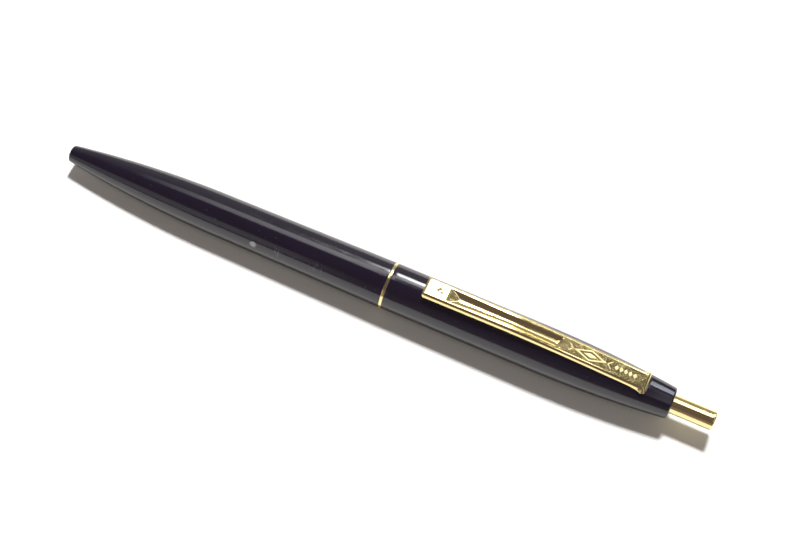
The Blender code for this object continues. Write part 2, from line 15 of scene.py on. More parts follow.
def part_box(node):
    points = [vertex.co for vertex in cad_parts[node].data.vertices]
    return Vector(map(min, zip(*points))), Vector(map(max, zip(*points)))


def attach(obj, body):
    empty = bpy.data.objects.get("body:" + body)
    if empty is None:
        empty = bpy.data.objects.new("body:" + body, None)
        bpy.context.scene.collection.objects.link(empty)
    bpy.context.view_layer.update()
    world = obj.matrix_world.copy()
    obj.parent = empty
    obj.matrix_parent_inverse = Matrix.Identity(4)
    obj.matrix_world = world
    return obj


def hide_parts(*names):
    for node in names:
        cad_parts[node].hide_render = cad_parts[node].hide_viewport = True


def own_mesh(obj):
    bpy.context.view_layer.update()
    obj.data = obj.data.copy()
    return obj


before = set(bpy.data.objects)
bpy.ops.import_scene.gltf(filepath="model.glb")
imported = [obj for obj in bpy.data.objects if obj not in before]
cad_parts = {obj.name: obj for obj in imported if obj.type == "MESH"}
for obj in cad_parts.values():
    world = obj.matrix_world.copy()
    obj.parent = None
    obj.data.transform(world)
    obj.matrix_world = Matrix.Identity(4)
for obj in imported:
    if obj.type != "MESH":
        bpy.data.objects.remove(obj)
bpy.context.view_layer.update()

MM = 0.001  # metres in a millimetre
RING_LOW, RING_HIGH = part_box("centre_ring")
NOSE_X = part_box("front_barrel")[0].x
AXIS_Z = (RING_LOW.z + RING_HIGH.z) / 2
BARREL_R = 4.845
JOINT_STATION = ((RING_LOW.x + RING_HIGH.x) / 2 - NOSE_X) / MM
LENGTH = (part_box("push_button")[1].x - NOSE_X) / MM
SMOOTH = 144  # facets round the visible barrels
SMALL_SMOOTH = 72  # facets round the small turned pieces


# ---------------------------------------------------------------- helpers


def spread(first, last, count):
    """Evenly spaced values from first to last, both included."""
    return [first + (last - first) * i / (count - 1) for i in range(count)]


def arc(station, radius, size, start, end, count=6):
    """Profile points round a fillet's centre, from one angle to another, in degrees. Angle 0 points outwards
    and 90 towards the button."""
    turns = [radians(a) for a in spread(start, end, count)]
    return [(radius + size * cos(a), station + size * sin(a)) for a in turns]


def at(station, across, up):
    """A point in the frame, from a station and millimetres across the pen and above its axis."""
    return Vector((NOSE_X + station * MM, across * MM, AXIS_Z + up * MM))


def new_object(name, bm, material, crease=32):
    """An object from a bmesh: smooth shaded, with edges sharper than the crease angle left sharp."""
    bmesh.ops.recalc_face_normals(bm, faces=bm.faces)
    for edge in bm.edges:
        edge.smooth = len(edge.link_faces) != 2 or edge.calc_face_angle(0.0) < radians(crease)
    for face in bm.faces:
        face.smooth = True
    mesh = bpy.data.meshes.new(name)
    bm.to_mesh(mesh)
    bm.free()
    obj = bpy.data.objects.new(name, mesh)
    bpy.context.scene.collection.objects.link(obj)
    obj.data.materials.append(material)
    return obj


def skin(bm, rows):
    """Joins neighbouring rows of points with faces."""
    for one, two in zip(rows, rows[1:]):
        for j in range(len(one) - 1):
            bm.faces.new([one[j], one[j + 1], two[j + 1], two[j]])


def lathe_mesh(profile, facets, on_axis=False):
    """A bmesh of revolution. profile holds (radius, station) points in order round the section. It closes on
    itself, or on the axis if its two ends lie there."""
    bm = bmesh.new()
    rings = []
    for radius, station in profile:
        if radius < 1e-6:
            rings.append([bm.verts.new(at(station, 0.0, 0.0))] * facets)
            continue
        turns = [2 * pi * i / facets for i in range(facets)]
        rings.append([bm.verts.new(at(station, -radius * sin(a), radius * cos(a))) for a in turns])
    last = len(rings) - 1 if on_axis else len(rings)
    for i in range(last):
        one, two = rings[i], rings[(i + 1) % len(rings)]
        for j in range(facets):
            k = (j + 1) % facets
            corners = list(dict.fromkeys([one[j], one[k], two[k], two[j]]))
            if len(corners) > 2:
                bm.faces.new(corners)
    return bm


def lathe(name, profile, material, facets=SMOOTH, on_axis=False):
    """A smooth turned piece."""
    return new_object(name, lathe_mesh(profile, facets, on_axis), material)


def helix(name, radius, section, start, pitch, turns, material, steps=64):
    """A thread along a helix. section holds (outwards, along) points. A section whose foot lies inside the
    radius is a ridge, which rises over its first third of a turn and falls over its last."""
    bm = bmesh.new()
    rings = []
    count = int(turns * steps)
    ridge = section[0][0] < 0
    for i in range(count + 1):
        angle = 2 * pi * i / steps
        taper = min(1.0, i / steps * 3, (count - i) / steps * 3) if ridge else 1.0
        ring = []
        for outwards, along in section:
            r = radius + (outwards if outwards < 0 else outwards * taper)
            station = start + pitch * i / steps + along
            ring.append(bm.verts.new(at(station, r * sin(angle), r * cos(angle))))
        rings.append(ring)
    for one, two in zip(rings, rings[1:]):
        for j in range(len(section)):
            k = (j + 1) % len(section)
            bm.faces.new([one[j], one[k], two[k], two[j]])
    bm.faces.new(rings[0])
    bm.faces.new(list(reversed(rings[-1])))
    return new_object(name, bm, material)


def cut(obj, cutter):
    """Cuts one object out of another and removes the cutter."""
    modifier = obj.modifiers.new("cut", "BOOLEAN")
    modifier.operation = "DIFFERENCE"
    modifier.object = cutter
    apply_modifiers(obj)
    bpy.data.objects.remove(cutter)


def soften(obj, width, angle):
    """Bevels the edges sharper than an angle in degrees, by a width in millimetres."""
    edges = obj.modifiers.new("edges", "BEVEL")
    edges.width = width * MM
    edges.segments = 2
    edges.limit_method = "ANGLE"
    edges.angle_limit = radians(angle)


def apply_modifiers(obj):
    """Replaces the object's mesh by its evaluated mesh."""
    bpy.context.view_layer.update()
    graph = bpy.context.evaluated_depsgraph_get()
    mesh = bpy.data.meshes.new_from_object(obj.evaluated_get(graph))
    obj.modifiers.clear()
    obj.data = mesh


# ---------------------------------------------------------------- materials


class Nodes:
    """A material's node tree, with short ways to add what the materials here share."""

    def __init__(self, name):
        self.material = bpy.data.materials.new(name)
        self.material.use_nodes = True
        self.tree = self.material.node_tree
        self.shader = self.tree.nodes["Principled BSDF"]
        self.place = self.add("ShaderNodeTexCoord").outputs["Object"]

    def add(self, kind, **settings):
        """A node with its properties set."""
        node = self.tree.nodes.new(kind)
        for key, value in settings.items():
            setattr(node, key, value)
        return node

    def link(self, source, target):
        """Joins an output to an input."""
        self.tree.links.new(source, target)

    def stretched(self, scale):
        """Object coordinates in millimetres, scaled along each axis."""
        mapping = self.add("ShaderNodeMapping")
        mapping.inputs["Scale"].default_value = [s / MM for s in scale]
        self.link(self.place, mapping.inputs["Vector"])
        return mapping.outputs["Vector"]

    def noise(self, scale, detail=3.0, roughness=0.5):
        """A noise pattern, with its scale given per millimetre along each axis."""
        node = self.add("ShaderNodeTexNoise")
        node.inputs["Scale"].default_value = 1.0
        node.inputs["Detail"].default_value = detail
        node.inputs["Roughness"].default_value = roughness
        self.link(self.stretched(scale), node.inputs["Vector"])
        return node.outputs["Fac"]

    def ramp(self, value, low, high, to_low, to_high):
        """Maps a value's range on to another, and clamps it."""
        node = self.add("ShaderNodeMapRange")
        for key, number in zip(("From Min", "From Max", "To Min", "To Max"), (low, high, to_low, to_high)):
            node.inputs[key].default_value = number
        self.link(value, node.inputs["Value"])
        return node.outputs["Result"]

    def patches(self, scale, low, high, detail=3.0):
        """A noise pattern between two values."""
        return self.ramp(self.noise(scale, detail), 0.3, 0.7, low, high)

    def mix(self, factor, one, two):
        """A colour between two others."""
        node = self.add("ShaderNodeMix", data_type="RGBA")
        self.link(factor, node.inputs["Factor"])
        for socket, colour in zip((node.inputs["A"], node.inputs["B"]), (one, two)):
            if isinstance(colour, tuple):
                socket.default_value = (*colour, 1.0)
            else:
                self.link(colour, socket)
        return node.outputs["Result"]

    def maths(self, operation, one, two):
        """One sum on two values, each a number or an output."""
        node = self.add("ShaderNodeMath", operation=operation)
        for socket, value in zip(node.inputs, (one, two)):
            if isinstance(value, (int, float)):
                socket.default_value = value
            else:
                self.link(value, socket)
        return node.outputs["Value"]

    def bump(self, height, distance, strength=1.0):
        """Feeds a height, whose full range is distance in millimetres, to the shader's normal."""
        node = self.add("ShaderNodeBump")
        node.inputs["Strength"].default_value = strength
        node.inputs["Distance"].default_value = distance * MM
        self.link(height, node.inputs["Height"])
        self.link(node.outputs["Normal"], self.shader.inputs["Normal"])

    def spot(self, centre, radius, ragged):
        """1 inside a ragged spot round a point and 0 outside it, with the radius in millimetres."""
        gap = self.add("ShaderNodeVectorMath", operation="DISTANCE")
        gap.inputs[1].default_value = centre
        self.link(self.place, gap.inputs[0])
        away = self.maths("ADD", self.maths("DIVIDE", gap.outputs["Value"], MM), ragged)
        return self.ramp(away, radius + 0.4, radius + 0.6, 1.0, 0.0)

    def set(self, **values):
        """Sets shader sockets, named with underscores for spaces."""
        for key, value in values.items():
            socket = self.shader.inputs[key.replace("_", " ")]
            if isinstance(value, bpy.types.NodeSocket):
                self.link(value, socket)
            elif isinstance(value, tuple):
                socket.default_value = (*value, 1.0)
            else:
                socket.default_value = value


FLECK = (43.0, 67)  # station and angle of a pale fleck on the front barrel
SCUFFS = ((48.5, 61), (52.3, 63), (57.1, 59))  # stations and angles of rubbed spots beyond it


def on_barrel(station, angle, radius):
    """A point on a barrel, at an angle in degrees from the top through the camera's side."""
    return at(station, -radius * sin(radians(angle)), radius * cos(radians(angle)))


def black_plastic():
    """Polished moulded plastic: nearly black with a violet cast, faint flow mottling, hairline scratches
    along and across the barrel, dust, a pale fleck and a few rubbed spots."""
    n = Nodes("polished_black_plastic")
    mottle = n.noise((0.12, 0.3, 0.3), 4.0)
    colour = n.mix(mottle, (0.0068, 0.0043, 0.0112), (0.0096, 0.0062, 0.0152))
    dust = n.ramp(n.noise((2.2, 2.2, 2.2), 2.0), 0.735, 0.775, 0.0, 1.0)
    dust_share = n.maths("MULTIPLY", dust, 0.35)
    colour = n.mix(dust_share, colour, (0.16, 0.15, 0.15))
    hairlines = n.ramp(n.noise((0.25, 11.0, 11.0), 2.0), 0.62, 0.72, 0.0, 1.0)
    scuffs = n.ramp(n.noise((7.0, 0.6, 0.6), 2.0), 0.68, 0.76, 0.0, 1.0)
    worn = n.ramp(n.noise((0.08, 0.2, 0.2), 3.0), 0.45, 0.7, 0.0, 1.0)
    marks = n.maths("MULTIPLY", n.maths("MAXIMUM", hairlines, scuffs), worn)
    rough = n.patches((0.35, 0.5, 0.5), 0.11, 0.17, 5.0)
    rough = n.maths("ADD", rough, n.maths("MULTIPLY", marks, 0.12))
    rough = n.maths("ADD", rough, dust_share)
    ragged = n.noise((3.0, 3.0, 3.0), 3.0)
    fleck = n.spot(on_barrel(*FLECK, 4.55), 0.62, ragged)
    colour = n.mix(n.maths("MULTIPLY", fleck, 0.9), colour, (0.36, 0.36, 0.4))
    streaks = n.ramp(n.noise((5.5, 0.25, 0.25), 1.0), 0.56, 0.66, 0.0, 0.6)
    for station, angle in SCUFFS:
        rubbed = n.maths("MULTIPLY", n.spot(on_barrel(station, angle, 4.65), 1.0, ragged), streaks)
        colour = n.mix(rubbed, colour, (0.14, 0.13, 0.16))
    n.set(Base_Color=colour, Roughness=rough, IOR=1.65, Specular_IOR_Level=0.5)
    n.bump(n.maths("ADD", n.noise((0.9, 1.6, 1.6), 3.0), n.maths("MULTIPLY", marks, 0.15)), 0.004)
    return n.material


def gold_plate(name, roughness, brushed=(9.0, 0.5, 0.5), metallic=1.0):
    """Plated gold: pale yellow, with faint polishing lines, softer patches and small pits. It looks frosted
    when it is less metallic."""
    n = Nodes(name)
    patch = n.noise((0.35, 0.6, 0.6), 4.0)
    colour = n.mix(patch, (0.93, 0.755, 0.34), (0.97, 0.82, 0.42))
    lines = n.noise(brushed, 3.0)
    pits = n.ramp(n.noise((4.0, 4.0, 4.0), 2.0), 0.7, 0.76, 0.0, 1.0)
    tarnish = n.maths("MULTIPLY", pits, 0.5)
    colour = n.mix(tarnish, colour, (0.42, 0.3, 0.12))
    rough = n.patches((0.8, 1.2, 1.2), roughness - 0.04, roughness + 0.05, 4.0)
    rough = n.maths("ADD", rough, n.maths("MULTIPLY", pits, 0.15))
    n.set(Base_Color=colour, Roughness=rough, Metallic=metallic)
    n.bump(n.maths("SUBTRACT", n.maths("MULTIPLY", lines, 0.5), pits), 0.003)
    return n.material


def acetal():
    """Natural moulded acetal of the click mechanism, slightly waxy, with a matt skin."""
    n = Nodes("natural_acetal")
    colour = n.mix(n.noise((0.4, 0.4, 0.4), 4.0), (0.74, 0.73, 0.67), (0.84, 0.83, 0.79))
    rough = n.patches((3.0, 3.0, 3.0), 0.32, 0.46)
    n.set(Base_Color=colour, Roughness=rough, Subsurface_Weight=0.12, Subsurface_Scale=0.0006)
    n.bump(n.noise((6.0, 6.0, 6.0), 3.0), 0.01)
    return n.material


def turned_metal(name, dark, light, roughness, fineness=5.0):
    """Machined metal with turning lines round the pen's axis, as many per millimetre as the fineness says."""
    n = Nodes(name)
    lines = n.noise((fineness, 0.15, 0.15), 3.0)
    colour = n.mix(lines, dark, light)
    rough = n.patches((1.5, 1.5, 1.5), roughness - 0.05, roughness + 0.07)
    n.set(Base_Color=colour, Roughness=rough, Metallic=1.0)
    n.bump(lines, 0.006)
    return n.material


def clear_tube():
    """Extruded refill tube: milky plastic that lets the ink show through."""
    n = Nodes("milky_tube")
    colour = n.mix(n.noise((0.15, 1.0, 1.0), 3.0), (0.8, 0.81, 0.79), (0.9, 0.9, 0.87))
    rough = n.patches((0.5, 3.0, 3.0), 0.2, 0.32)
    n.set(Base_Color=colour, Roughness=rough, Transmission_Weight=0.7, IOR=1.49)
    n.bump(n.noise((0.3, 5.0, 5.0), 2.0), 0.006)
    return n.material


def paste_ink():
    """Black paste ink."""
    n = Nodes("paste_ink")
    colour = n.mix(n.noise((0.8, 0.8, 0.8), 3.0), (0.006, 0.006, 0.012), (0.014, 0.012, 0.024))
    rough = n.patches((1.5, 1.5, 1.5), 0.16, 0.3)
    n.set(Base_Color=colour, Roughness=rough)
    return n.material


def pale_paper():
    """The floor: smooth white paper with a very fine tooth."""
    n = Nodes("white_paper")
    colour = n.mix(n.noise((0.02, 0.02, 0.02), 4.0), (0.82, 0.815, 0.8), (0.86, 0.855, 0.84))
    n.set(Base_Color=colour, Roughness=0.8, Specular_IOR_Level=0.2)
    n.bump(n.noise((1.5, 1.5, 1.5), 4.0), 0.01, 0.4)
    return n.material


BLACK = black_plastic()
GOLD_RING = gold_plate("gold_plate_ring", 0.13)
GOLD_CLIP = gold_plate("gold_plate_clip", 0.1, (0.5, 8.0, 8.0))
GOLD_BUTTON = gold_plate("gold_plate_button", 0.12, (8.0, 0.4, 0.4))
GOLD_RELIEF = gold_plate("gold_relief", 0.3, metallic=0.5)
ACETAL = acetal()
STEEL = turned_metal("spring_wire", (0.5, 0.5, 0.52), (0.66, 0.66, 0.68), 0.24)
BRASS = turned_metal("turned_brass", (0.62, 0.47, 0.22), (0.8, 0.64, 0.34), 0.26)
CARBIDE = turned_metal("ball_carbide", (0.42, 0.42, 0.44), (0.56, 0.56, 0.58), 0.14, 9.0)
TUBE = clear_tube()
INK = paste_ink()


# ---------------------------------------------------------------- barrels

NOSE_R = 1.75
NOSE_LENGTH = 36.0
NOSE_END_R = 4.47
NOSE_BORE_R = 1.35
SPRING_SEAT = 13.0
SPRING_BORE_R = 2.25
SPRING_BORE_END = 36.0
REFILL_BORE_R = 2.7
REFILL_BORE_START = 40.0
RING_HALF = 0.25
PILOT_R = 3.72
PILOT_LENGTH = 1.45
SPIGOT_R = 3.45
SPIGOT_LENGTH = 8.0
PITCH = 1.5
THREAD_START = JOINT_STATION + 2.2
THREAD_HEIGHT = 0.27
THREAD_FOOT_HALF = 0.42
THREAD_CREST_HALF = 0.15
THREAD_TURNS = 3
THREAD_BORE_LENGTH = 6.4
COUNTERBORE_R = 3.9
RIM = 0.08
TAPER_START = 103.0
COLLAR_END = 130.8
COLLAR_R = 3.18
MOUTH_BORE_R = 3.6
SLEEVE_BORE_R = 3.3
SLEEVE_BORE_START = 105.5
SLEEVE_SHOULDER = 122.2
CAVITY_R = 3.1
BUTTON_STOP = 125.8
BUTTON_BORE_R = 2.03
SLOT_START = 124.6
SLOT_END = 125.27
SLOT_PLAY = 0.3
SLOT_LOW = 2.6
SLOT_HIGH = 4.5


def front_outline(station):
    """Outer radius of the front barrel: a parabola over the nose, then a slight taper up to the ring."""
    if station < NOSE_LENGTH:
        return NOSE_END_R - (NOSE_END_R - NOSE_R) * (1 - station / NOSE_LENGTH) ** 2
    return NOSE_END_R + (BARREL_R - NOSE_END_R) * (station - NOSE_LENGTH) / (JOINT_STATION - NOSE_LENGTH)


def rear_outline(station):
    """Outer radius of the upper barrel: straight, then a parabola down to the collar."""
    if station < TAPER_START:
        return BARREL_R
    return BARREL_R - (BARREL_R - COLLAR_R) * ((station - TAPER_START) / (COLLAR_END - TAPER_START)) ** 2


def thread_section(foot, crest):
    """Points round a thread's section, whose foot and crest are this far outside its radius."""
    half = [(foot, THREAD_FOOT_HALF), (crest, THREAD_CREST_HALF)]
    return half + [(outwards, -along) for outwards, along in reversed(half)]


def make_front_barrel():
    """Nose, body, pilot and threaded spigot of the front half."""
    end = JOINT_STATION - RING_HALF
    spigot_end = end + SPIGOT_LENGTH
    chamfer = 0.25
    nose_edge = 0.4
    bore_edge = 0.12
    profile = [
        (SPIGOT_R - chamfer, spigot_end),
        (SPIGOT_R, spigot_end - chamfer),
        (SPIGOT_R, end + PILOT_LENGTH),
        (PILOT_R, end + PILOT_LENGTH),
        (PILOT_R, end),
        *arc(end - RIM, front_outline(end) - RIM, RIM, 90, 4),
        *[(front_outline(s), s) for s in spread(end - 0.4, 0.75, 90)],
        *arc(nose_edge, NOSE_R - 0.36, nose_edge, -4, -90, 9),
        *arc(bore_edge, NOSE_BORE_R + bore_edge, bore_edge, -90, -180, 5),
        (NOSE_BORE_R, SPRING_SEAT),
        (SPRING_BORE_R, SPRING_SEAT),
        (SPRING_BORE_R, SPRING_BORE_END),
        (REFILL_BORE_R, REFILL_BORE_START),
        (REFILL_BORE_R, spigot_end),
    ]
    barrel = lathe("front_barrel_shell", profile, BLACK)
    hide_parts("front_barrel")
    ridge = thread_section(-0.1, THREAD_HEIGHT)
    thread = helix("spigot_thread", SPIGOT_R, ridge, THREAD_START, PITCH, THREAD_TURNS, BLACK)
    for piece in (barrel, thread):
        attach(piece, "front_section")


def make_upper_barrel():
    """Body, collar, slot for the clip and internal thread of the rear half."""
    mouth = JOINT_STATION + RING_HALF
    thread_end = THREAD_START + THREAD_BORE_LENGTH
    collar_edge = 0.5
    slope = outline_slope(COLLAR_END - collar_edge)
    profile = [
        *arc(COLLAR_END - RIM, BUTTON_BORE_R + RIM, RIM, 180, 90, 5),
        *arc(COLLAR_END - collar_edge, COLLAR_R - collar_edge + 0.06, collar_edge, 90, slope, 10),
        *[(rear_outline(s), s) for s in spread(COLLAR_END - collar_edge - 0.1, TAPER_START, 60)],
        *[(BARREL_R, s) for s in spread(TAPER_START - 1.0, mouth + 1.0, 12)],
        *arc(mouth + RIM, BARREL_R - RIM, RIM, 0, -90),
        (COUNTERBORE_R, mouth),
        (COUNTERBORE_R, thread_end),
        (MOUTH_BORE_R, thread_end),
        (MOUTH_BORE_R, SLEEVE_BORE_START),
        (SLEEVE_BORE_R, SLEEVE_BORE_START),
        (SLEEVE_BORE_R, SLEEVE_SHOULDER),
        (CAVITY_R, SLEEVE_SHOULDER),
        (CAVITY_R, BUTTON_STOP),
        (BUTTON_BORE_R, BUTTON_STOP),
    ]
    barrel = lathe("upper_barrel_shell", profile, BLACK)
    cut(barrel, slot_cutter())
    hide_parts("upper_barrel")
    ridge = thread_section(0.05, -0.3)
    start = THREAD_START + 0.5 * PITCH
    thread = helix("mouth_thread", COUNTERBORE_R, ridge, start, PITCH, THREAD_TURNS, BLACK)
    for piece in (barrel, thread):
        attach(piece, "upper_assembly")


def outline_slope(station):
    """Slope of the upper barrel's outline at a station, in degrees, where that angle is small."""
    step = 0.01
    fall = rear_outline(station) - rear_outline(station + step)
    return degrees(fall / hypot(fall, step))


def slot_cutter():
    """A block that cuts the clip's slot through the top of the upper barrel. It reaches low enough to open
    the slot to the cavity over its whole width."""
    bm = bmesh.new()
    bmesh.ops.create_cube(bm, size=1.0)
    width = 2 * CLIP_LEG_HALF_WIDTH + SLOT_PLAY
    size = Vector((SLOT_END - SLOT_START, width, SLOT_HIGH - SLOT_LOW)) * MM
    centre = at((SLOT_START + SLOT_END) / 2, 0.0, (SLOT_LOW + SLOT_HIGH) / 2)
    bmesh.ops.scale(bm, vec=size, verts=bm.verts)
    bmesh.ops.translate(bm, vec=centre, verts=bm.verts)
    return new_object("slot_cutter", bm, BLACK)


def make_trim_ring():
    """Thin plated ring with a rounded lip, a hair proud of the barrels and lying over their rounded rims."""
    lip, half, edge = RING_HALF + 0.04, RING_HALF - 0.02, 0.055
    radius, inner = BARREL_R + 0.05, PILOT_R + 0.08
    profile = [
        (radius - edge, JOINT_STATION + half),
        *arc(JOINT_STATION + lip - edge, radius - edge, edge, 90, 0),
        *arc(JOINT_STATION - lip + edge, radius - edge, edge, 0, -90),
        (radius - edge, JOINT_STATION - half),
        (inner, JOINT_STATION - half),
        (inner, JOINT_STATION + half),
    ]
    ring = lathe("trim_ring_band", profile, GOLD_RING)
    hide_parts("centre_ring")
    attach(ring, "trim_ring")


# ---------------------------------------------------------------- clip

CLIP_START = 78.3
CLIP_BEND = 124.3
CLIP_SHEET = 0.35
CLIP_FLANGE_GAP = 0.1
CLIP_CORNER = 0.56
CLIP_FACE_FREE = 3.26
CLIP_FACE_ROOT = 2.9
CLIP_FLANGE = 0.86
CLIP_FLANGE_SLOPE = radians(78)
CLIP_OPENING = 2.4
CLIP_OPEN_SLOPE = radians(42)
CLIP_HEIGHT_FREE = 6.17
CLIP_HEIGHT_ROOT = 4.45
CLIP_LEVEL_END = 96.0
CLIP_FALL_POWER = 1.45
CLIP_LIP = 0.12
CLIP_LIP_LENGTH = 0.6
CLIP_BEND_R = 0.85
CLIP_BEND_FLARE = 1.1
CLIP_BEND_STEPS = 12
CLIP_ELBOW_STEPS = 6
CLIP_LEG_HEIGHT = 2.72
CLIP_LEG_HALF_WIDTH = 1.5
CLIP_FOOT_HALF_WIDTH = 1.0
CLIP_FOOT = 1.7
CHANNEL_START = 83.1
CHANNEL_RAMP = 2.3
CHANNEL_END = 106.8
CHANNEL_END_LENGTH = 1.3
CHANNEL_END_STEPS = 14
CHANNEL_HALF_WIDTH = 1.2
CHANNEL_FLARE = 0.3
CHANNEL_FLARE_LENGTH = 12.0
CHANNEL_DEPTH = 0.45
CLIP_BALL_STATION = 81.4
CLIP_BALL_R = 0.6
CLIP_BALL_GAP = 0.12
CLIP_BALL_CUT = 0.2
CLIP_EDGE = 0.05
CLIP_DIMPLE_R = 0.95
CLIP_DIMPLE_DEPTH = 0.035


def clip_height(station):
    """Height of the clip's top face above the pen's axis: level behind a free end that turns down a little,
    then falling with the barrel."""
    fall = max(station - CLIP_LEVEL_END, 0.0) / (CLIP_BEND - CLIP_LEVEL_END)
    lip = max(CLIP_START + CLIP_LIP_LENGTH - station, 0.0) / CLIP_LIP_LENGTH
    drop = (CLIP_HEIGHT_FREE - CLIP_HEIGHT_ROOT) * fall**CLIP_FALL_POWER
    return CLIP_HEIGHT_FREE - drop - CLIP_LIP * lip**2


def clip_rows():
    """Rows along the clip's outer face as (station, height, fold, flat). fold goes from 0 on the pressed part
    to 1 on the leg and foot, which are flat and of half width flat."""
    stations = spread(CLIP_START, CLIP_START + CLIP_LIP_LENGTH, 8)
    stations += spread(CLIP_START + CLIP_LIP_LENGTH + 0.2, CHANNEL_START - 0.1, 28)
    stations += spread(CHANNEL_START, CHANNEL_START + CHANNEL_RAMP, 24)
    stations += spread(CHANNEL_START + CHANNEL_RAMP + 0.5, CHANNEL_END - CHANNEL_END_LENGTH, 40)
    for i in range(1, CHANNEL_END_STEPS + 1):
        stations.append(CHANNEL_END - CHANNEL_END_LENGTH * (1 - sin(pi / 2 * i / CHANNEL_END_STEPS)))
    stations += spread(CHANNEL_END + 0.3, CLIP_BEND, 40)
    rows = [(s, clip_height(s), 0.0, CLIP_LEG_HALF_WIDTH) for s in stations]
    top = rows[-1][1]
    for i in range(1, CLIP_BEND_STEPS + 1):
        fold = i / CLIP_BEND_STEPS
        angle = pi / 2 * fold
        station = CLIP_BEND + CLIP_BEND_R * sin(angle)
        half_width = CLIP_LEG_HALF_WIDTH + CLIP_BEND_FLARE * sqrt(1 - fold**3)
        rows.append((station, top - CLIP_BEND_R * (1 - cos(angle)), fold, half_width))
    leg = CLIP_BEND + CLIP_BEND_R
    elbow = CLIP_SHEET + 0.1
    foot = CLIP_LEG_HEIGHT - CLIP_SHEET
    rows.append((leg, foot + elbow + 0.3, 1.0, CLIP_LEG_HALF_WIDTH))
    for i in range(CLIP_ELBOW_STEPS + 1):
        angle = pi / 2 * i / CLIP_ELBOW_STEPS
        station = leg - elbow * (1 - cos(angle))
        rows.append((station, foot + elbow * (1 - sin(angle)), 1.0, CLIP_FOOT_HALF_WIDTH))
    rows.append((leg - CLIP_FOOT, foot, 1.0, CLIP_FOOT_HALF_WIDTH))
    return rows


def channel_half_width(station):
    """Half width of the channel pressed into the top face, which narrows away from the free end."""
    flare = min(max((station - CHANNEL_START) / CHANNEL_FLARE_LENGTH, 0.0), 1.0)
    return CHANNEL_HALF_WIDTH + CHANNEL_FLARE * (1 - flare)


def channel_drop(station, share):
    """Drop of the channel's floor. share goes from 0 in its middle to 1 at its edge. A flat ramp leads down
    into it at the clip's free end, and its other end is round."""
    down = (station - CHANNEL_START) / CHANNEL_RAMP
    left = (CHANNEL_END - station) / CHANNEL_END_LENGTH
    if down <= 0 or left <= 0:
        return 0.0
    return CHANNEL_DEPTH * min(down, (1 - share**2) * sqrt(1 - (1 - min(left, 1.0)) ** 2))


def dimple_drop(station, across):
    """How far the shallow dimple above the clip's ball sinks the top face."""
    away = hypot(station - CLIP_BALL_STATION, across)
    return CLIP_DIMPLE_DEPTH * (cos(pi * min(away / CLIP_DIMPLE_R, 1.0)) + 1)


def clip_section(station, fold, flat):
    """Points across the clip as (across, drop below the outer face): a flat face with a hollow pressed in it,
    rounded shoulders and sloping flanges that open towards the bend. It turns into a flat strip as fold goes
    to 1."""
    along = min((station - CLIP_START) / (CLIP_BEND - CLIP_START), 1.0)
    face = (CLIP_FACE_FREE + (CLIP_FACE_ROOT - CLIP_FACE_FREE) * along) / 2
    opening = min(max((station - CLIP_BEND) / CLIP_OPENING + 1, 0.0), 1.0)
    slope = CLIP_FLANGE_SLOPE + (CLIP_OPEN_SLOPE - CLIP_FLANGE_SLOPE) * opening**2
    shoulder = [(face + CLIP_CORNER * sin(a), CLIP_CORNER * (1 - cos(a))) for a in spread(slope, 0.0, 10)]
    edge, edge_drop = shoulder[0]
    barrel = sqrt(rear_outline(station) ** 2 - (edge - CLIP_SHEET) ** 2)
    flange = min(CLIP_FLANGE, clip_height(min(station, CLIP_BEND)) - barrel - CLIP_FLANGE_GAP)
    channel = channel_half_width(station)
    side = [
        (edge + (drop - edge_drop) * cos(slope) / sin(slope), drop)
        for drop in spread(flange, edge_drop + 0.05, 3)
    ]
    side += shoulder
    side += [(across, 0.0) for across in spread(face - 0.02, channel + 0.03, 4)]
    for t in spread(1.0, 0.0, 21):
        across = channel * t
        side.append((across, channel_drop(station, t) + dimple_drop(station, across)))
    section = side + [(-across, drop) for across, drop in reversed(side[:-1])]
    reach = spread(1.0, -1.0, len(section))
    points = []
    for (across, drop), share in zip(section, reach):
        points.append((across * (1 - fold) + flat * share * fold, drop * (1 - fold)))
    return points


def clip_mesh():
    """The clip's outer face as a sheet."""
    rows = clip_rows()
    bm = bmesh.new()
    grid = []
    for i, (station, height, fold, flat) in enumerate(rows):
        before, after = rows[max(i - 1, 0)], rows[min(i + 1, len(rows) - 1)]
        along, up = after[0] - before[0], after[1] - before[1]
        length = hypot(along, up)
        line = []
        for across, drop in clip_section(station, fold, flat):
            x = station + up / length * drop
            z = height - along / length * drop
            line.append(bm.verts.new(at(x, across, z)))
        grid.append(line)
    skin(bm, grid)
    return bm


def ball_mesh():
    """The ball under the clip's free end, turned and set upright. Its last facet is cut short by a flat top,
    which lies inside the sheet."""
    height = BARREL_R + CLIP_BALL_GAP + CLIP_BALL_R
    top = CLIP_HEIGHT_FREE - CLIP_BALL_CUT - height
    profile = arc(0.0, 0.0, CLIP_BALL_R, -90, 45, 16)
    (wide, low), (narrow, high) = profile[-2:]
    profile[-1] = (wide + (narrow - wide) * (top - low) / (high - low), top)
    bm = lathe_mesh([*profile, (0.0, top)], 32, on_axis=True)
    turned = at(0.0, 0.0, 0.0)
    place = at(CLIP_BALL_STATION, 0.0, height)
    bmesh.ops.rotate(bm, cent=turned, matrix=Matrix.Rotation(-pi / 2, 3, "Y"), verts=bm.verts)
    bmesh.ops.translate(bm, vec=place - turned, verts=bm.verts)
    return bm


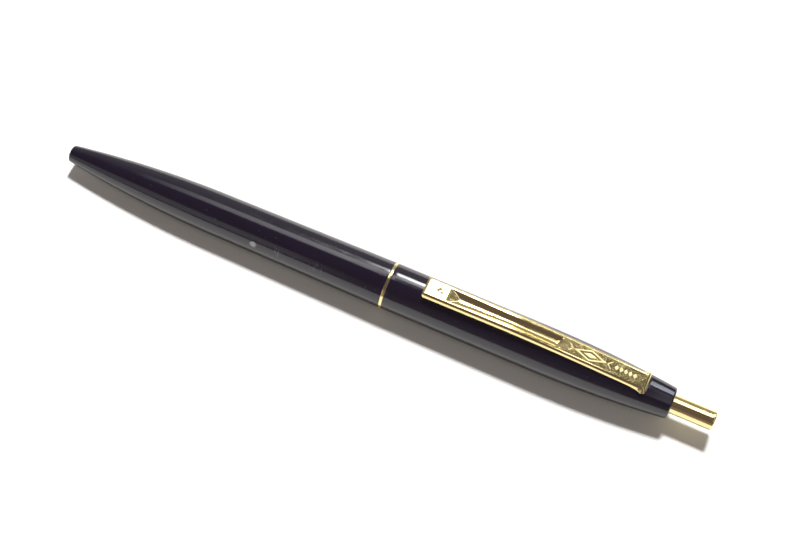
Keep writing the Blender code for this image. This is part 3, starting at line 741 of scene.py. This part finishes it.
def make_clip():
    """One piece of plated spring sheet, with rounded shoulders, a pressed channel, a dimple and a folded leg.
    The ball under its free end and the ornament on its face ride with it."""
    clip = new_object("pocket_clip_sheet", clip_mesh(), GOLD_CLIP, crease=17)
    sheet = clip.modifiers.new("sheet", "SOLIDIFY")
    sheet.thickness = CLIP_SHEET * MM
    sheet.offset = -1.0
    sheet.use_even_offset = True
    soften(clip, CLIP_EDGE, 60)
    apply_modifiers(clip)
    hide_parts("clip")
    ball = new_object("clip_ball", ball_mesh(), GOLD_CLIP)
    for piece in (clip, ball, make_ornament()):
        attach(piece, "pocket_clip")


ORNAMENT_START = 108.4
ORNAMENT_END = 122.9
ORNAMENT_HALF_WIDTH = 1.2
ORNAMENT_HEIGHT = 0.07
ORNAMENT_GROUND = -0.02
LOZENGE_STATION = 112.9
LOZENGE = (3.0, 1.05, 0.18)  # half length, half width and half the width of its line
FILLED_LOZENGE = (1.5, 0.5)  # half length and half width
SMALL_LOZENGE = (0.24, 0.34, 0.16)
ARROW_TIP = 3.6
ARROW_SLOPE = 1.1
ARROW_LINE = 0.17
ARROW_HALF_WIDTH = 0.8
ROW_START = 118.4
ROW_STEP = 0.95
ROW_COUNT = 5
NO_STROKE = 9.0


def ring_gap(along, across, lozenge):
    """Distance from a lozenge's outline, in units of half the width of its line."""
    length, width, line = lozenge
    edge = abs(along) / length + abs(across) / width - 1.0
    return abs(edge) * length * width / hypot(length, width) / line


def ornament_gap(station, across):
    """Distance from the nearest stroke of the ornament, in units of half the stroke's width: a lozenge in the
    outline of another, between two arrowheads, and a row of small lozenges behind them."""
    along = station - LOZENGE_STATION
    gaps = [
        ring_gap(along, across, LOZENGE),
        abs(along) / FILLED_LOZENGE[0] + abs(across) / FILLED_LOZENGE[1],
    ]
    for tip in (-ARROW_TIP, ARROW_TIP):
        beyond = along * tip > tip * tip
        wing = abs(abs(along - tip) - abs(across) * ARROW_SLOPE) if beyond else NO_STROKE
        gaps.append(max(wing / ARROW_LINE, abs(across) / ARROW_HALF_WIDTH))
    place = min(max(round((station - ROW_START) / ROW_STEP), 0), ROW_COUNT - 1)
    gaps.append(ring_gap(station - ROW_START - place * ROW_STEP, across, SMALL_LOZENGE))
    return min(gaps)


def make_ornament():
    """A plain geometric pattern pressed up from the clip's face, with rounded strokes."""
    bm = bmesh.new()
    columns = spread(-ORNAMENT_HALF_WIDTH, ORNAMENT_HALF_WIDTH, 81)
    lift = ORNAMENT_HEIGHT - ORNAMENT_GROUND
    grid = []
    for station in spread(ORNAMENT_START, ORNAMENT_END, 484):
        line = []
        for across in columns:
            rise = sqrt(max(1 - ornament_gap(station, across) ** 2, 0.0)) * lift + ORNAMENT_GROUND
            line.append(bm.verts.new(at(station, across, clip_height(station) + rise)))
        grid.append(line)
    skin(bm, grid)
    bmesh.ops.delete(bm, geom=[f for f in bm.faces if flat_face(f)], context="FACES")
    return new_object("clip_ornament", bm, GOLD_RELIEF, crease=80)


def flat_face(face):
    """Whether a face of the ornament lies wholly in its ground, sunk below the clip's face."""
    lifts = [v.co.z - at(0.0, 0.0, clip_height((v.co.x - NOSE_X) / MM)).z for v in face.verts]
    return max(lifts) < 0.95 * ORNAMENT_GROUND * MM


# ---------------------------------------------------------------- button, mechanism and refill

BUTTON_R = 1.93
BUTTON_WALL = 0.25
BUTTON_OPEN_END = 126.6
SPRING_WIRE_R = 0.19
SPRING_R = 1.75
SPRING_COILS = 9
SPRING_END_COILS = 1
HOLDER_COLLAR = 31.0


def make_button():
    """Drawn shell with a rounded, slightly crowned end."""
    inner = BUTTON_R - BUTTON_WALL
    floor = LENGTH - 0.35
    edge = 0.35
    crown_drop = 0.02
    crown = [(r, LENGTH - crown_drop * (r / BUTTON_R) ** 2) for r in spread(0.0, BUTTON_R - edge - 0.05, 6)]
    profile = [
        *crown,
        *arc(LENGTH - edge - crown_drop, BUTTON_R - edge, edge, 88, 0, 10),
        *[(BUTTON_R, s) for s in spread(LENGTH - 1.0, BUTTON_OPEN_END, 12)],
        (inner, BUTTON_OPEN_END),
        (inner, floor),
        (0.0, floor),
    ]
    button = lathe("push_button_shell", profile, GOLD_BUTTON, SMALL_SMOOTH, on_axis=True)
    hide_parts("push_button")
    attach(button, "button")


def spring_path():
    """Centre line of the return spring, closed at both ends and open between."""
    clearance = SPRING_WIRE_R + 0.1
    first, last = SPRING_SEAT + clearance, HOLDER_COLLAR - clearance
    closed = 2 * SPRING_WIRE_R + 0.06
    open_pitch = (last - first - 2 * SPRING_END_COILS * closed) / (SPRING_COILS - 2 * SPRING_END_COILS)
    steps = 40
    path = []
    for i in range(SPRING_COILS * steps + 1):
        coil = i / steps
        at_front = min(coil, SPRING_END_COILS)
        at_rear = max(coil - (SPRING_COILS - SPRING_END_COILS), 0.0)
        station = first + (at_front + at_rear) * closed + (coil - at_front - at_rear) * open_pitch
        angle = 2 * pi * coil
        path.append(at(station, SPRING_R * sin(angle), SPRING_R * cos(angle)))
    return path


def make_spring():
    """Round wire spring, built at one fixed length on the front section; the real one shortens as the refill
    comes forward.
    """
    curve = bpy.data.curves.new("return_spring_wire", "CURVE")
    curve.dimensions = "3D"
    curve.bevel_depth = SPRING_WIRE_R * MM
    curve.bevel_resolution = 3
    curve.use_fill_caps = True
    path = spring_path()
    spline = curve.splines.new("POLY")
    spline.points.add(len(path) - 1)
    for point, place in zip(spline.points, path):
        point.co = (*place, 1.0)
    coil = bpy.data.objects.new("return_spring_wire", curve)
    bpy.context.scene.collection.objects.link(coil)
    bpy.context.view_layer.update()
    mesh = bpy.data.meshes.new_from_object(coil.evaluated_get(bpy.context.evaluated_depsgraph_get()))
    bpy.data.objects.remove(coil)
    spring = bpy.data.objects.new("return_spring_wire", mesh)
    bpy.context.scene.collection.objects.link(spring)
    mesh.materials.clear()
    mesh.materials.append(STEEL)
    mesh.shade_smooth()
    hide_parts("return_spring")
    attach(spring, "front_section")
    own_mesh(spring)


def finish_inner_parts():
    """Gives the solids that are kept from the CAD their materials and, but for the ball, softened edges."""
    finishes = {
        "guide_sleeve": ACETAL,
        "plunger": ACETAL,
        "rotary_cam": ACETAL,
        "point_holder": ACETAL,
        "ink_tube": TUBE,
        "ink_column": INK,
        "point_body": BRASS,
        "writing_ball": CARBIDE,
    }
    for name, material in finishes.items():
        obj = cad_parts[name]
        obj.data.materials.clear()
        obj.data.materials.append(material)
        if name == "writing_ball":
            continue
        weld = obj.modifiers.new("weld", "WELD")
        weld.merge_threshold = 1e-7
        soften(obj, 0.04, 40)


# ---------------------------------------------------------------- stage

FADING_GLOWS = (2.8, 1.9, 1.4, 1.0, 0.7, 0.4)  # a streak that fades towards the nose
FADING_STEP = 0.05


def make_floor():
    """A plain pale floor, tilted to touch the front barrel along its slight taper, on which the pen rests."""
    bm = bmesh.new()
    bmesh.ops.create_grid(bm, x_segments=1, y_segments=1, size=1.5)
    floor = new_object("floor", bm, pale_paper())
    taper = (BARREL_R - NOSE_END_R) / (JOINT_STATION - NOSE_LENGTH)
    touch = at(JOINT_STATION, 0.0, -BARREL_R)
    floor.matrix_world = Matrix.Translation(touch) @ Matrix.Rotation(taper, 4, "Y")


def make_world():
    """A dim room: brighter behind the pen, mostly towards the nose, and low in front, where it is rosier."""
    world = bpy.data.worlds.new("studio")
    bpy.context.scene.world = world
    world.use_nodes = True
    tree = world.node_tree
    background = tree.nodes["Background"]
    place = tree.nodes.new("ShaderNodeTexCoord")
    split = tree.nodes.new("ShaderNodeSeparateXYZ")
    tree.links.new(place.outputs["Generated"], split.inputs["Vector"])

    def span(axis, *limits):
        """Maps a range of a direction's component on to another range."""
        node = tree.nodes.new("ShaderNodeMapRange")
        for key, number in zip(("From Min", "From Max", "To Min", "To Max"), limits):
            node.inputs[key].default_value = number
        tree.links.new(split.outputs[axis], node.inputs["Value"])
        return node.outputs["Result"]

    def maths(operation, one, two):
        """One sum on two outputs."""
        node = tree.nodes.new("ShaderNodeMath")
        node.operation = operation
        tree.links.new(one, node.inputs[0])
        tree.links.new(two, node.inputs[1])
        return node.outputs["Value"]

    behind = maths("MULTIPLY", span("Y", 0.1, 0.8, 0.0, 0.26), span("X", 0.05, 0.14, 1.0, 0.15))
    front = span("Y", -0.8, -1.0, 0.12, 0.24)
    tree.links.new(maths("ADD", behind, front), background.inputs["Strength"])
    tint = tree.nodes.new("ShaderNodeMix")
    tint.data_type = "RGBA"
    tint.inputs["A"].default_value = (1.0, 0.8, 0.92, 1.0)
    tint.inputs["B"].default_value = (1.0, 0.97, 0.93, 1.0)
    tree.links.new(span("Y", 0.1, 0.5, 0.0, 1.0), tint.inputs["Factor"])
    tree.links.new(tint.outputs["Result"], background.inputs["Color"])


def panel(name, centre, size, glow, lights="glossy", colour=(1.0, 1.0, 1.0)):
    """A light panel that faces the middle of the pen. centre is in metres from that middle, glow is the
    panel's brightness, and lights says whether it adds to diffuse or to glossy reflection."""
    data = bpy.data.lights.new(name, "AREA")
    data.shape = "RECTANGLE"
    data.size, data.size_y = size
    data.energy = glow * pi * size[0] * size[1]
    data.color = colour
    light = bpy.data.objects.new(name, data)
    bpy.context.scene.collection.objects.link(light)
    away = Vector(centre).normalized()
    right = Vector((1.0, 0.0, 0.0))
    right = (right - away * right.dot(away)).normalized()
    basis = Matrix((right, away.cross(right), away)).transposed().to_4x4()
    place = at(JOINT_STATION, 0.0, 0.0) + Vector(centre)
    light.matrix_world = Matrix.Translation(place) @ basis
    light.visible_diffuse = lights == "diffuse"
    light.visible_glossy = lights == "glossy"


def make_lights():
    """A key above and behind the pen makes the shadow, and a wide fill in front opens it up. The other panels
    are seen only in reflections: they make the streaks on the barrels, the clip and the button."""
    panel("key", (-0.1, 0.57, 1.38), (0.2, 0.2), 250.0, "diffuse")
    panel("fill", (0.0, -0.5, 0.6), (1.2, 0.8), 0.44, "diffuse", (1.0, 0.97, 0.77))
    panel("strip_middle", (-0.045, 0.39, 0.67), (0.12, 0.26), 5.0)
    panel("strip_bright", (-0.083, 0.53, 0.6), (0.06, 0.16), 26.0)
    panel("strip_end", (0.127, 0.2, 0.72), (0.05, 0.21), 5.0)
    panel("strip_rear", (0.08, 0.45, 0.62), (0.32, 0.08), 5.0)
    for i, glow in enumerate(FADING_GLOWS):
        panel(f"faint_{i}", (-0.135 - FADING_STEP * i, 0.235, 0.7), (FADING_STEP, 0.3), glow)
    panel("window", (0.25, 0.5, 0.46), (0.16, 0.36), 5.0, colour=(0.82, 0.9, 1.0))
    panel("beyond_button", (0.37, -0.1, 0.6), (0.3, 0.7), 0.6)
    panel("card", (-0.52, -0.65, 0.24), (0.78, 0.4), 0.42)


def make_camera():
    """A camera in front of the pen and a little to the button's side, looking down at the pen's middle."""
    azimuth, elevation, roll = radians(16.02), radians(61.39), radians(8.48)
    distance = 0.3052
    back = Vector((sin(azimuth) * cos(elevation), -cos(azimuth) * cos(elevation), sin(elevation)))
    right = Vector((cos(azimuth), sin(azimuth), 0.0))
    up = back.cross(right)
    basis = Matrix((right, up, back)).transposed().to_4x4()
    target = at(71.0, 1.9, 0.0)
    data = bpy.data.cameras.new("camera")
    data.sensor_width = 36.0
    data.lens = 70.1
    data.clip_start = 0.01
    camera = bpy.data.objects.new("camera", data)
    bpy.context.scene.collection.objects.link(camera)
    place = Matrix.Translation(target + back * distance)
    camera.matrix_world = place @ basis @ Matrix.Rotation(roll, 4, "Z")
    bpy.context.scene.camera = camera


make_front_barrel()
make_upper_barrel()
make_trim_ring()
make_clip()
make_button()
make_spring()
finish_inner_parts()
make_floor()
make_world()
make_lights()
make_camera()
bpy.context.scene.view_settings.view_transform = "Standard"
